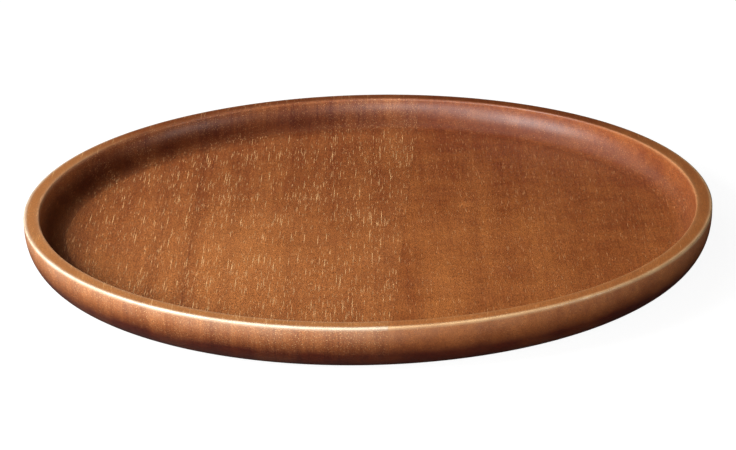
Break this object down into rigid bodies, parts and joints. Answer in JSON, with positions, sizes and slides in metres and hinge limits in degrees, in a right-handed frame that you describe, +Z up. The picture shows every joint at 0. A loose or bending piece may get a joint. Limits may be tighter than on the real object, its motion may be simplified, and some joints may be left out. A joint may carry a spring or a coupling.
{
  "type": "offering plate",
  "caption": "Shallow round turned wooden tray with a broad flat well, a coved inner wall and a rounded outer wall that rolls under to a flat underside, glued up from boards.",
  "frame": {"origin": "on the plate's turning axis, at the flat underside", "axes": "+Z up out of the well; +Y along the grain, away from the viewer; +X to the viewer's right, towards the smaller board"},
  "size_m": [0.3, 0.3, 0.022],
  "materials": {
    "open_pored_wood": "satin varnish over a reddish brown stain, coarse pale pores along the grain",
    "close_grained_wood": "satin varnish over a reddish brown stain, fine streaks with a soft mottled figure"
  },
  "bodies": {
    "root": {"left_board": "open_pored_wood", "right_board": "close_grained_wood"}
  },
  "joints": []
}
